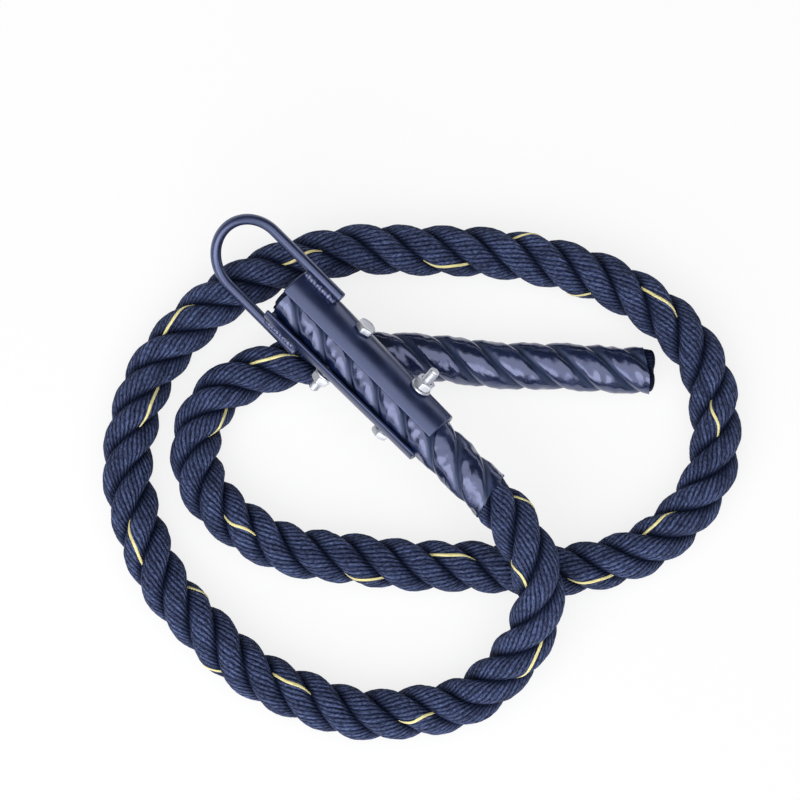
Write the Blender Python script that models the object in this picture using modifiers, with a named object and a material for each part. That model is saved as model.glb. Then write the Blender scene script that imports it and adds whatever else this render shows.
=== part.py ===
"""Gym climbing rope with a bolted steel hanger, lying in a loose double loop on the floor.

Units are metres and +Z is up. The origin is on the floor, under the middle of the whole rope.
The hanger lies along +X, from its loop towards the free rope, and is rolled about its own axis.
The hanger's own frame has x along the clamped rope from its end, y along the bolts and z across both.
"""

import math

import bmesh
import bpy
from mathutils import Matrix, Vector

# Clearances
CLEARANCE = 0.0003
BOLT_CLEARANCE = 0.0004
NUT_CLEARANCE = 0.0002
OVERRUN = 0.004

# Rope
ROPE_DIAMETER = 0.038
FLOOR_FLAT_SHARE = 0.1
ROPE_SAMPLES = 74
SECTION_POINTS = 15
TUBE_RESOLUTION = 4
NECK_LENGTH = 0.012

# Lay of the rope's strands, which shows where the film draws it in
STRANDS = 3
LAY_LENGTH = 0.0845
LAY_DEPTH_SHARE = 0.3
RINGS_PER_LAY = 11
HANGER_LAY_ANGLE = math.radians(17.0)
TAIL_LAY_ANGLE = math.radians(8.0)

# Shrunk film sleeves, which draw the rope in
FILM_DRAW_IN = 0.0022
FILM_WALL = 0.0006
HANGER_SLEEVE_LENGTH = 0.210
TAIL_SLEEVE_LENGTH = 0.240
SLEEVE_SETBACK = 0.003

# Clamp halves, each a tapered gutter of bent plate
SHELL_LENGTH = 0.150
SHELL_WALL = 0.0025
SHELL_FLARE = 0.0022
SHELL_SPREAD = 0.002
SHELL_HALF_ARC = math.radians(65.0)
SHELL_STEPS = 20
SHELL_EDGE = 0.0006

# Hanging loop of round bar, welded to the clamp halves
ROD_DIAMETER = 0.008
ROD_SEGMENTS = 28
LOOP_RISE = 0.0365
WELD_LENGTH = 0.033
WELD_GAP = 0.0014
BEAD_RADIUS = 0.0018
BEAD_SWELL_SHARE = 0.16
BEAD_RIPPLES = 5
BEAD_POINTS = 23
BEAD_END_TAPER_SHARE = 0.45

# Hexagon bolts with one washer and one nut each
BOLT_DIAMETER = 0.008
BOLT_LENGTH = 0.065
HEAD_HEIGHT = 0.0053
NUT_HEIGHT = 0.0065
HEX_ACROSS_FLATS = 0.013
HEX_CHAMFER_SHARE = 0.92
HEX_CHAMFER_DEPTH = 0.0009
TIP_CHAMFER = 0.001
WASHER_DIAMETER = 0.016
WASHER_THICKNESS = 0.0016
UPPER_BOLT_AT = 0.060
LOWER_BOLT_AT = 0.119
ROUND_SEGMENTS = 32

# Sizes that follow from the ones above
ROPE_RADIUS = ROPE_DIAMETER / 2
SLEEVED_RADIUS = ROPE_RADIUS - FILM_DRAW_IN
SLEEVE_OUTER = SLEEVED_RADIUS + CLEARANCE + FILM_WALL
REST_HEIGHT = ROPE_RADIUS - ROPE_DIAMETER * FLOOR_FLAT_SHARE
TAIL_HEIGHT = SLEEVE_OUTER + CLEARANCE
SHELL_BOTTOM_RADIUS = SLEEVE_OUTER + SHELL_WALL
SHELL_TOP_RADIUS = SHELL_BOTTOM_RADIUS + SHELL_FLARE
ROD_RADIUS = ROD_DIAMETER / 2
BOLT_RADIUS = BOLT_DIAMETER / 2
BOLT_HOLE = BOLT_RADIUS + BOLT_CLEARANCE
NUT_BORE = BOLT_RADIUS + NUT_CLEARANCE


def shell_radius(along):
    """Outer radius of a clamp half at a distance from its top end."""
    return SHELL_TOP_RADIUS - SHELL_FLARE * along / SHELL_LENGTH


def shell_reach(along):
    """How far the outside of a clamp half stands from the rope's axis, along the bolts."""
    return SHELL_SPREAD + shell_radius(along)


def bolt_seat(along):
    """Where a head or a washer sits: clear of the taper of the clamp half under its own radius."""
    taper = WASHER_DIAMETER / 2 * SHELL_FLARE / SHELL_LENGTH
    return shell_reach(along) + taper + CLEARANCE


LOOP_RADIUS = shell_reach(WELD_LENGTH / 2) + WELD_GAP + ROD_RADIUS

# Place of the hanger: it lies on the sleeved tail, which passes under it at this distance from its top
HANGER_ROLL = math.radians(35.0)
TAIL_CROSSING = 0.055
HANGER_X = -0.134
HANGER_Y = 0.012
HANGER_HEIGHT = (
    TAIL_HEIGHT
    + SLEEVE_OUTER
    + 2 * CLEARANCE
    + SHELL_SPREAD * math.sin(HANGER_ROLL)
    + shell_radius(TAIL_CROSSING)
)
CLAMPED_STEPS = 3

# Route of the free rope's centreline, chosen from the photograph, from the hanger to the tail
FREE_ROUTE = (
    (0.050, HANGER_Y, HANGER_HEIGHT),
    (0.085, 0.013, 0.058),
    (0.107, 0.009, 0.0575),
    (0.125, 0.004, 0.057),
    (0.141, -0.004, 0.055),
    (0.154, -0.016, 0.050),
    (0.166, -0.037, 0.040),
    (0.171, -0.068, 0.027),
    (0.166, -0.104, 0.018),
    (0.146, -0.134, REST_HEIGHT),
    (0.120, -0.163, REST_HEIGHT),
    (0.084, -0.183, REST_HEIGHT),
    (0.042, -0.198, REST_HEIGHT),
    (-0.002, -0.201, REST_HEIGHT),
    (-0.047, -0.199, REST_HEIGHT),
    (-0.089, -0.184, REST_HEIGHT),
    (-0.126, -0.162, REST_HEIGHT),
    (-0.150, -0.133, REST_HEIGHT),
    (-0.167, -0.099, REST_HEIGHT),
    (-0.173, -0.065, REST_HEIGHT),
    (-0.173, -0.029, REST_HEIGHT),
    (-0.165, 0.009, REST_HEIGHT),
    (-0.150, 0.041, REST_HEIGHT),
    (-0.130, 0.073, REST_HEIGHT),
    (-0.101, 0.102, REST_HEIGHT),
    (-0.058, 0.143, REST_HEIGHT),
    (-0.018, 0.172, REST_HEIGHT),
    (0.027, 0.194, REST_HEIGHT),
    (0.076, 0.203, REST_HEIGHT),
    (0.116, 0.197, REST_HEIGHT),
    (0.148, 0.176, REST_HEIGHT),
    (0.172, 0.149, REST_HEIGHT),
    (0.183, 0.114, REST_HEIGHT),
    (0.181, 0.073, REST_HEIGHT),
    (0.165, 0.038, REST_HEIGHT),
    (0.140, 0.006, REST_HEIGHT),
    (0.104, -0.026, REST_HEIGHT),
    (0.069, -0.060, REST_HEIGHT),
    (0.033, -0.089, REST_HEIGHT),
    (-0.002, -0.116, REST_HEIGHT),
    (-0.042, -0.129, REST_HEIGHT),
    (-0.078, -0.129, REST_HEIGHT),
    (-0.104, -0.114, REST_HEIGHT),
    (-0.118, -0.092, REST_HEIGHT),
    (-0.121, -0.065, REST_HEIGHT),
    (-0.113, -0.040, REST_HEIGHT),
    (-0.097, -0.012, 0.0172),
    (-0.074, 0.016, TAIL_HEIGHT),
    (-0.048, 0.043, TAIL_HEIGHT),
    (-0.020, 0.067, TAIL_HEIGHT),
    (0.009, 0.090, TAIL_HEIGHT),
    (0.046, 0.126, TAIL_HEIGHT),
    (0.071, 0.148, TAIL_HEIGHT),
    (0.091, 0.167, TAIL_HEIGHT),
)
STEPS_PER_SPAN = 12

# Colours, roughness and metallic value of each finish
FINISHES = {
    "rope_fibre": ((0.030, 0.038, 0.086, 1.0), 0.85, 0.0),
    "shrink_film": ((0.012, 0.017, 0.044, 1.0), 0.28, 0.0),
    "black_paint": ((0.010, 0.014, 0.036, 1.0), 0.35, 0.0),
    "weld_paint": ((0.040, 0.045, 0.075, 1.0), 0.45, 0.0),
    "bright_zinc": ((0.780, 0.800, 0.830, 1.0), 0.25, 1.0),
}


def clear_scene():
    """Removes every object, so that the model starts from nothing."""
    for obj in list(bpy.data.objects):
        bpy.data.objects.remove(obj, do_unlink=True)


def new_collection(name):
    """A collection linked to the scene."""
    made = bpy.data.collections.new(name)
    bpy.context.scene.collection.children.link(made)
    return made


def finish(name):
    """The material of one finish, made once."""
    if name in bpy.data.materials:
        return bpy.data.materials[name]
    colour, roughness, metallic = FINISHES[name]
    material = bpy.data.materials.new(name)
    material.use_nodes = True
    shader = material.node_tree.nodes["Principled BSDF"]
    shader.inputs["Base Color"].default_value = colour
    shader.inputs["Roughness"].default_value = roughness
    shader.inputs["Metallic"].default_value = metallic
    return material


def add_object(name, data, collection, parent=None, finish_name=None):
    """An object for some mesh or curve data, in a collection."""
    obj = bpy.data.objects.new(name, data)
    collection.objects.link(obj)
    obj.parent = parent
    if finish_name:
        data.materials.clear()
        data.materials.append(finish(finish_name))
    return obj


def make_cutter(obj):
    """Marks an object as a tool that isn't part of the model."""
    obj.hide_render = True
    obj.display_type = "WIRE"
    return obj


def boolean(obj, other, operation):
    """Adds one exact Boolean of another mesh object."""
    modifier = obj.modifiers.new(f"{operation.lower()} {other.name}", "BOOLEAN")
    modifier.operation = operation
    modifier.solver = "EXACT"
    modifier.object = other
    return modifier


def shade(mesh, angle=math.radians(35.0)):
    """Smooth shading that keeps the sharp edges."""
    mesh.shade_smooth()
    mesh.set_sharp_from_angle(angle=angle)


def tube_curve(name, points, radii, depth, collection, parent=None):
    """A round tube along points, with its own share of the depth at each."""
    data = bpy.data.curves.new(name, "CURVE")
    data.dimensions = "3D"
    data.twist_mode = "Z_UP"
    data.bevel_depth = depth
    data.bevel_resolution = TUBE_RESOLUTION
    data.use_fill_caps = True
    spline = data.splines.new("POLY")
    spline.points.add(len(points) - 1)
    for point, place, radius in zip(spline.points, points, radii):
        point.co = (*place, 1.0)
        point.radius = radius / depth
    return add_object(name, data, collection, parent)


def curve_to_mesh(obj, collection, finish_name=None):
    """Replaces a curve object with a welded mesh of the same name and place."""
    bpy.context.view_layer.update()
    name = obj.name
    parent = obj.parent
    place = obj.matrix_world.copy()
    evaluated = obj.evaluated_get(bpy.context.evaluated_depsgraph_get())
    mesh = bpy.data.meshes.new_from_object(evaluated)
    bpy.data.objects.remove(obj, do_unlink=True)
    work = bmesh.new()
    work.from_mesh(mesh)
    bmesh.ops.remove_doubles(work, verts=work.verts, dist=CLEARANCE / 10)
    bmesh.ops.recalc_face_normals(work, faces=work.faces)
    work.to_mesh(mesh)
    work.free()
    mesh.name = name
    made = add_object(name, mesh, collection, parent, finish_name)
    made.matrix_world = place
    shade(mesh)
    return made


def turned(name, profile, axis, collection, parent=None, finish_name=None):
    """A closed ring or a solid, turned from a profile of (radius, height) points about one local axis."""
    mesh = bpy.data.meshes.new(name)
    work = bmesh.new()
    along = {"X": lambda r, h: (h, r, 0.0), "Y": lambda r, h: (0.0, h, r)}[axis]
    corners = [work.verts.new(along(r, h)) for r, h in profile]
    closed = profile[0][0] > 0 and profile[-1][0] > 0
    pairs = list(zip(corners, corners[1:])) + ([(corners[-1], corners[0])] if closed else [])
    for first, second in pairs:
        work.edges.new((first, second))
    work.to_mesh(mesh)
    work.free()
    obj = add_object(name, mesh, collection, parent, finish_name)
    screw = obj.modifiers.new("turn", "SCREW")
    screw.axis = axis
    screw.angle = math.tau
    screw.steps = ROUND_SEGMENTS
    screw.render_steps = ROUND_SEGMENTS
    screw.use_merge_vertices = True
    screw.merge_threshold = CLEARANCE / 10
    return obj


def applied(obj, finish_name=None):
    """Applies an object's modifiers into a mesh whose faces point out."""
    bpy.context.view_layer.update()
    evaluated = obj.evaluated_get(bpy.context.evaluated_depsgraph_get())
    mesh = bpy.data.meshes.new_from_object(evaluated)
    work = bmesh.new()
    work.from_mesh(mesh)
    bmesh.ops.remove_doubles(work, verts=work.verts, dist=CLEARANCE / 100)
    bmesh.ops.recalc_face_normals(work, faces=work.faces)
    work.to_mesh(mesh)
    work.free()
    mesh.name = obj.name
    obj.modifiers.clear()
    obj.data = mesh
    if finish_name:
        mesh.materials.clear()
        mesh.materials.append(finish(finish_name))
    shade(mesh)
    return obj


def clamped_route():
    """Centreline of the rope inside the clamp halves, from the rope's end."""
    steps = range(CLAMPED_STEPS + 1)
    return [
        Vector((HANGER_X + SHELL_LENGTH * i / CLAMPED_STEPS, HANGER_Y, HANGER_HEIGHT)) for i in steps
    ]


def smooth_route():
    """Close points on a smooth curve through the whole route, with the distance along it at each."""
    knots = clamped_route() + [Vector(place) for place in FREE_ROUTE]
    chords = [0.0]
    for first, second in zip(knots, knots[1:]):
        chords.append(chords[-1] + (second - first).length)
    last = len(knots) - 1
    slopes = []
    for i in range(last + 1):
        before = max(i - 1, 0)
        after = min(i + 1, last)
        slopes.append((knots[after] - knots[before]) / (chords[after] - chords[before]))
    points = [knots[0]]
    for i in range(last):
        span = chords[i + 1] - chords[i]
        for step in range(1, STEPS_PER_SPAN + 1):
            t = step / STEPS_PER_SPAN
            place = (
                knots[i] * (2 * t**3 - 3 * t**2 + 1)
                + slopes[i] * span * (t**3 - 2 * t**2 + t)
                + knots[i + 1] * (3 * t**2 - 2 * t**3)
                + slopes[i + 1] * span * (t**3 - t**2)
            )
            place.z = max(place.z, REST_HEIGHT)
            points.append(place)
    distances = [0.0]
    for first, second in zip(points, points[1:]):
        distances.append(distances[-1] + (second - first).length)
    return points, distances


def at_distance(route, distance):
    """The point of the smooth route at one distance along it."""
    points, distances = route
    for i, reached in enumerate(distances[1:]):
        if reached >= distance:
            share = (distance - distances[i]) / (reached - distances[i])
            return points[i].lerp(points[i + 1], share)
    return points[-1].copy()


def rope_stations(length):
    """Distances of the rope's rings, with rings at both sleeves' mouths and necks.

    The steps between them are even, and shorter under the sleeves, where the lay shows.
    """
    fixed = [
        0.0,
        SLEEVE_SETBACK,
        HANGER_SLEEVE_LENGTH,
        HANGER_SLEEVE_LENGTH + NECK_LENGTH,
        length - TAIL_SLEEVE_LENGTH - NECK_LENGTH,
        length - TAIL_SLEEVE_LENGTH,
        length - SLEEVE_SETBACK,
        length,
    ]
    stations = [fixed[0]]
    for first, second in zip(fixed, fixed[1:]):
        sleeved = is_sleeved(first, length) and is_sleeved(second, length)
        step = LAY_LENGTH / RINGS_PER_LAY if sleeved else length / ROPE_SAMPLES
        count = max(1, round((second - first) / step))
        stations += [first + (second - first) * (i + 1) / count for i in range(count)]
    return stations


def least_self_gap(route, stations, length):
    """The least gap between two passes of the rope, by spheres round the points of its tube."""
    points = [at_distance(route, d) for d in stations]
    radii = [SLEEVED_RADIUS if is_sleeved(d, length) else ROPE_RADIUS for d in stations]
    apart = 3 * ROPE_DIAMETER
    gaps = [
        (points[i] - points[j]).length - radii[i] - radii[j]
        for i in range(len(points))
        for j in range(i)
        if stations[i] - stations[j] > apart
    ]
    return min(gaps)


def is_sleeved(distance, length):
    """True where a film sleeve draws the rope in."""
    slack = CLEARANCE
    return distance <= HANGER_SLEEVE_LENGTH + slack or distance >= length - TAIL_SLEEVE_LENGTH - slack


def rope_frames(route, stations):
    """Each station's distance with the centre of the rope there and the directions up and left of it."""
    points = [at_distance(route, d) for d in stations]
    frames = []
    for i, centre in enumerate(points):
        ahead = points[min(i + 1, len(points) - 1)] - points[max(i - 1, 0)]
        left = ahead.cross(Vector((0.0, 0.0, 1.0))).normalized()
        up = left.cross(ahead).normalized()
        frames.append((stations[i], centre, up, left))
    return frames


def lay_angle(distance, length):
    """How far the first strand has turned round the rope, from straight up to the left.

    The strands turn evenly under each sleeve. The bare rope between the sleeves is round, and there the
    rings turn only as far as brings a strand to a strand's place at the other sleeve.
    """
    rate = math.tau / LAY_LENGTH
    near = HANGER_SLEEVE_LENGTH
    far = length - TAIL_SLEEVE_LENGTH
    at_near = HANGER_LAY_ANGLE + rate * near
    gain = math.remainder(TAIL_LAY_ANGLE - at_near, math.tau / STRANDS)
    if distance < near:
        return at_near - rate * (near - distance)
    if distance > far:
        return at_near + gain + rate * (distance - far)
    return at_near + gain * (distance - near) / (far - near)


def lobe_radius(turn, offset):
    """Radius of the sleeved rope's section at an angle from a strand's crest, or of the film round it.

    The section falls from each crest to a groove and rises again as a cosine. The offset is measured
    square to the surface, which leans both round and along the rope on a strand's flanks.
    """
    half = SLEEVED_RADIUS * LAY_DEPTH_SHARE / 2
    base = SLEEVED_RADIUS - half * (1 - math.cos(STRANDS * turn))
    fall = half * STRANDS * math.sin(STRANDS * turn)
    return base + offset * math.hypot(1.0, fall / base, math.tau * fall / LAY_LENGTH)


def rope_ring(frame, length, offset):
    """A ring of corners round the rope, lobed under the sleeves and round where the rope is bare."""
    distance, centre, up, left = frame
    start = lay_angle(distance, length)
    corners = []
    for i in range(SECTION_POINTS):
        turn = math.tau * i / SECTION_POINTS
        radius = lobe_radius(turn, offset) if is_sleeved(distance, length) else ROPE_RADIUS
        side = up * math.cos(start + turn) + left * math.sin(start + turn)
        corners.append(centre + side * radius)
    return corners


def skin(work, rings):
    """Faces between neighbouring rings, each split along the diagonal that a right-hand lay makes short."""
    rows = [[work.verts.new(corner) for corner in ring] for ring in rings]
    for first, second in zip(rows, rows[1:]):
        for i in range(SECTION_POINTS):
            j = (i + 1) % SECTION_POINTS
            work.faces.new((first[i], first[j], second[i]))
            work.faces.new((first[j], second[j], second[i]))
    return rows


def lofted(name, outside, inside, collection, finish_name):
    """A solid through rings of corners, or a wall between two such skins where there is an inside."""
    mesh = bpy.data.meshes.new(name)
    work = bmesh.new()
    outer = skin(work, outside)
    inner = skin(work, inside)
    for end in (0, -1):
        if not inside:
            work.faces.new(outer[end])
            continue
        for i in range(SECTION_POINTS):
            j = (i + 1) % SECTION_POINTS
            work.faces.new((outer[end][i], outer[end][j], inner[end][j], inner[end][i]))
    bmesh.ops.recalc_face_normals(work, faces=work.faces)
    work.to_mesh(mesh)
    work.free()
    made = add_object(name, mesh, collection, None, finish_name)
    shade(mesh)
    return made


def add_rope(frames, length, parts, cutters, bolt_cutters):
    """The rope: one loft along the whole route, drawn in under the sleeves and flat where it lies."""
    rings = [rope_ring(frame, length, 0.0) for frame in frames]
    rope = lofted("rope", rings, [], parts, "rope_fibre")
    spread = max(max(abs(centre.x), abs(centre.y)) for _, centre, _, _ in frames) + ROPE_DIAMETER
    mesh = bpy.data.meshes.new("floor_cutter")
    work = bmesh.new()
    bmesh.ops.create_cube(work, size=1.0)
    bmesh.ops.scale(work, vec=(2 * spread, 2 * spread, ROPE_DIAMETER), verts=work.verts)
    bmesh.ops.translate(work, vec=(0.0, 0.0, -ROPE_DIAMETER / 2), verts=work.verts)
    work.to_mesh(mesh)
    work.free()
    floor = make_cutter(add_object("floor_cutter", mesh, cutters))
    boolean(rope, floor, "DIFFERENCE")
    for cutter in bolt_cutters:
        boolean(rope, cutter, "DIFFERENCE")
    return rope


def add_sleeve(name, frames, length, parts, bolt_cutters):
    """A thin film sleeve round the rope between its first and last station."""
    outside = [rope_ring(frame, length, CLEARANCE + FILM_WALL) for frame in frames]
    inside = [rope_ring(frame, length, CLEARANCE) for frame in frames]
    sleeve = lofted(name, outside, inside, parts, "shrink_film")
    for cutter in bolt_cutters:
        boolean(sleeve, cutter, "DIFFERENCE")
    return sleeve


def add_bolt_cutter(name, along, cutters, hanger):
    """A long round tool that drills one bolt's hole through everything that it crosses."""
    half = shell_reach(0.0) + OVERRUN
    profile = [(0.0, half), (BOLT_HOLE, half), (BOLT_HOLE, -half), (0.0, -half)]
    cutter = turned(name, profile, "Y", cutters, hanger)
    cutter.location = (along, 0.0, 0.0)
    return make_cutter(applied(cutter))


def add_clamp_half(name, side, parts, hanger, bolt_cutters):
    """One tapered gutter of plate, on the side of the rope that y times side points to."""
    mesh = bpy.data.meshes.new(name)
    work = bmesh.new()
    ends = []
    for along in (0.0, SHELL_LENGTH / 2, SHELL_LENGTH):
        radius = shell_radius(along)
        y = radius * math.cos(SHELL_HALF_ARC)
        z = -radius * math.sin(SHELL_HALF_ARC)
        ends.append(work.verts.new((along, y, z)))
    for first, second in zip(ends, ends[1:]):
        work.edges.new((first, second))
    work.to_mesh(mesh)
    work.free()
    half = add_object(name, mesh, parts, hanger, "black_paint")
    half.location = (0.0, side * SHELL_SPREAD, 0.0)
    half.rotation_euler = (0.0 if side > 0 else math.pi, 0.0, 0.0)
    bend = half.modifiers.new("bend", "SCREW")
    bend.axis = "X"
    bend.angle = 2 * SHELL_HALF_ARC
    bend.steps = SHELL_STEPS
    bend.render_steps = SHELL_STEPS
    bend.use_merge_vertices = False
    wall = half.modifiers.new("wall", "SOLIDIFY")
    wall.thickness = SHELL_WALL
    wall.offset = 1.0
    wall.use_even_offset = True
    edge = half.modifiers.new("rounded edge", "BEVEL")
    edge.width = SHELL_EDGE
    edge.segments = 2
    edge.limit_method = "ANGLE"
    applied(half, "black_paint")
    for cutter in bolt_cutters:
        boolean(half, cutter, "DIFFERENCE")
    return half


def add_loop(parts, hanger):
    """The U of round bar: two straight legs along the clamp halves and a half-round crown."""
    leg = WELD_LENGTH
    points = [Vector((leg, LOOP_RADIUS, 0.0)), Vector((leg / 2, LOOP_RADIUS, 0.0))]
    for i in range(ROD_SEGMENTS + 1):
        turn = math.pi * i / ROD_SEGMENTS
        x = -LOOP_RISE - LOOP_RADIUS * math.sin(turn)
        points.append(Vector((x, LOOP_RADIUS * math.cos(turn), 0.0)))
    points += [Vector((leg / 2, -LOOP_RADIUS, 0.0)), Vector((leg, -LOOP_RADIUS, 0.0))]
    radii = [ROD_RADIUS] * len(points)
    loop = tube_curve("hanging_loop", points, radii, ROD_RADIUS, parts, hanger)
    return curve_to_mesh(loop, parts, "black_paint")


def bead_place(along, radius):
    """Where a bead of one radius touches both the leg and the clamp half, in the hanger's y and z."""
    to_leg = ROD_RADIUS + CLEARANCE + radius
    to_shell = shell_radius(along) + CLEARANCE + radius
    apart = LOOP_RADIUS - SHELL_SPREAD
    out = (apart**2 + to_shell**2 - to_leg**2) / (2 * apart)
    return SHELL_SPREAD + out, math.sqrt(to_shell**2 - out**2)


def add_weld(name, side, face, parts, hanger):
    """One rippled weld bead in the groove between a leg and its clamp half."""
    points = []
    radii = []
    run = WELD_LENGTH - 2 * BEAD_RADIUS
    for i in range(BEAD_POINTS):
        share = i / (BEAD_POINTS - 1)
        along = BEAD_RADIUS + run * share
        taper = min(1.0, BEAD_END_TAPER_SHARE + min(share, 1 - share) * BEAD_RIPPLES)
        swell = 1 + BEAD_SWELL_SHARE * math.cos(math.tau * BEAD_RIPPLES * share + side)
        radius = BEAD_RADIUS * swell * taper
        y, z = bead_place(along, radius)
        points.append(Vector((along, side * y, face * z)))
        radii.append(radius)
    bead = tube_curve(name, points, radii, BEAD_RADIUS, parts, hanger)
    return curve_to_mesh(bead, parts, "weld_paint")


def hexagon(name, low, high, chamfers, parts, hanger, finish_name):
    """A hexagon block along y from low to high, turned down to a cone at the chamfered ends."""
    mesh = bpy.data.meshes.new(name)
    work = bmesh.new()
    corner = HEX_ACROSS_FLATS / math.sqrt(3.0)
    bmesh.ops.create_cone(
        work, cap_ends=True, segments=6, radius1=corner, radius2=corner, depth=high - low
    )
    bmesh.ops.rotate(work, matrix=Matrix.Rotation(math.pi / 2, 3, "X"), verts=work.verts)
    bmesh.ops.translate(work, vec=(0.0, (low + high) / 2, 0.0), verts=work.verts)
    work.to_mesh(mesh)
    work.free()
    block = add_object(name, mesh, parts, hanger, finish_name)
    face = HEX_ACROSS_FLATS / 2 * HEX_CHAMFER_SHARE
    wide = corner + CLEARANCE
    top = [(0.0, high), (face, high), (wide, high - HEX_CHAMFER_DEPTH)]
    bottom = [(wide, low + HEX_CHAMFER_DEPTH), (face, low), (0.0, low)]
    if "high" not in chamfers:
        top = [(0.0, high + CLEARANCE), (wide, high + CLEARANCE)]
    if "low" not in chamfers:
        bottom = [(wide, low - CLEARANCE), (0.0, low - CLEARANCE)]
    return block, top + bottom


def add_bolt(name, along, side, parts, cutters, hanger):
    """A hexagon bolt whose head is on the side of the hanger that y times side points to."""
    seat = bolt_seat(along)
    block, envelope = hexagon(name, seat, seat + HEAD_HEIGHT, ("high",), parts, hanger, "bright_zinc")
    turn_down = applied(turned(f"{name}_envelope", envelope, "Y", cutters, hanger))
    tip = seat - BOLT_LENGTH
    profile = [
        (0.0, seat + HEAD_HEIGHT / 2),
        (BOLT_RADIUS, seat + HEAD_HEIGHT / 2),
        (BOLT_RADIUS, tip + TIP_CHAMFER),
        (BOLT_RADIUS - TIP_CHAMFER, tip),
        (0.0, tip),
    ]
    shank = applied(turned(f"{name}_shank", profile, "Y", cutters, hanger))
    for piece in (block, turn_down, shank):
        piece.location = (along, 0.0, 0.0)
        piece.rotation_euler = (0.0, 0.0, 0.0 if side > 0 else math.pi)
    boolean(block, make_cutter(turn_down), "INTERSECT")
    boolean(block, make_cutter(shank), "UNION")
    return block


def add_nut(name, along, side, parts, cutters, hanger):
    """The nut of a bolt: its origin is on the bolt's axis, at the face that bears on the washer."""
    seat = bolt_seat(along) + WASHER_THICKNESS + CLEARANCE
    block, envelope = hexagon(name, 0.0, NUT_HEIGHT, ("high", "low"), parts, hanger, "bright_zinc")
    turn_down = applied(turned(f"{name}_envelope", envelope, "Y", cutters, hanger))
    ends = (NUT_HEIGHT + OVERRUN, -OVERRUN)
    drill = [(0.0, ends[0]), (NUT_BORE, ends[0]), (NUT_BORE, ends[1]), (0.0, ends[1])]
    bore = applied(turned(f"{name}_bore", drill, "Y", cutters, hanger))
    for piece in (block, turn_down, bore):
        piece.location = (along, side * seat, 0.0)
        piece.rotation_euler = (0.0, 0.0, 0.0 if side > 0 else math.pi)
    boolean(block, make_cutter(turn_down), "INTERSECT")
    boolean(block, make_cutter(bore), "DIFFERENCE")
    return block


def add_washer(name, along, side, parts, hanger):
    """A flat washer under a nut, with its origin on the bolt's axis at the face that bears on the plate."""
    thick = WASHER_THICKNESS
    outer = WASHER_DIAMETER / 2
    profile = [(NUT_BORE, thick), (outer, thick), (outer, 0.0), (NUT_BORE, 0.0)]
    washer = turned(name, profile, "Y", parts, hanger, "bright_zinc")
    washer.location = (along, side * bolt_seat(along), 0.0)
    washer.rotation_euler = (0.0, 0.0, 0.0 if side > 0 else math.pi)
    return applied(washer, "bright_zinc")


def build():
    """Makes every piece of the climbing rope."""
    clear_scene()
    parts = new_collection("climbing_rope")
    cutters = new_collection("cutters")
    hanger = bpy.data.objects.new("hanger_frame", None)
    parts.objects.link(hanger)
    hanger.location = (HANGER_X, HANGER_Y, HANGER_HEIGHT)
    hanger.rotation_euler = (HANGER_ROLL, 0.0, 0.0)
    drills = [
        add_bolt_cutter("upper_bolt_hole", UPPER_BOLT_AT, cutters, hanger),
        add_bolt_cutter("lower_bolt_hole", LOWER_BOLT_AT, cutters, hanger),
    ]
    route = smooth_route()
    length = route[1][-1]
    stations = rope_stations(length)
    frames = rope_frames(route, stations)
    near_end = HANGER_SLEEVE_LENGTH + CLEARANCE
    tail_from = length - TAIL_SLEEVE_LENGTH - CLEARANCE
    tail_end = length - SLEEVE_SETBACK + CLEARANCE
    near = [frame for frame in frames if SLEEVE_SETBACK - CLEARANCE <= frame[0] <= near_end]
    tail = [frame for frame in frames if tail_from <= frame[0] <= tail_end]
    add_rope(frames, length, parts, cutters, drills)
    add_sleeve("hanger_end_sleeve", near, length, parts, drills)
    add_sleeve("tail_end_sleeve", tail, length, parts, [])
    add_clamp_half("right_clamp_half", 1, parts, hanger, drills)
    add_clamp_half("left_clamp_half", -1, parts, hanger, drills)
    add_loop(parts, hanger)
    for word, side in (("right", 1), ("left", -1)):
        add_weld(f"{word}_leg_weld_front", side, 1, parts, hanger)
        add_weld(f"{word}_leg_weld_back", side, -1, parts, hanger)
    for word, along, side in (("upper", UPPER_BOLT_AT, 1), ("lower", LOWER_BOLT_AT, -1)):
        add_bolt(f"{word}_bolt", along, side, parts, cutters, hanger)
        add_washer(f"{word}_washer", along, -side, parts, hanger)
        add_nut(f"{word}_nut", along, -side, parts, cutters, hanger)
    gap = least_self_gap(route, stations, length)
    print(f"rope length {length:.3f} m, least gap between its passes {1000 * gap:.1f} mm")


build()
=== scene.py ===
"""Climbing rope with a bolted steel hanger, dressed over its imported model.

Every length is in metres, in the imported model's own frame, with +Z up and the floor at zero.
A distance along the rope is counted from its clamped end.
"""

import math

import bpy
import numpy as np
from bpy.props import FloatProperty, FloatVectorProperty, IntProperty, PointerProperty
from mathutils import Matrix, Vector


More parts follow.
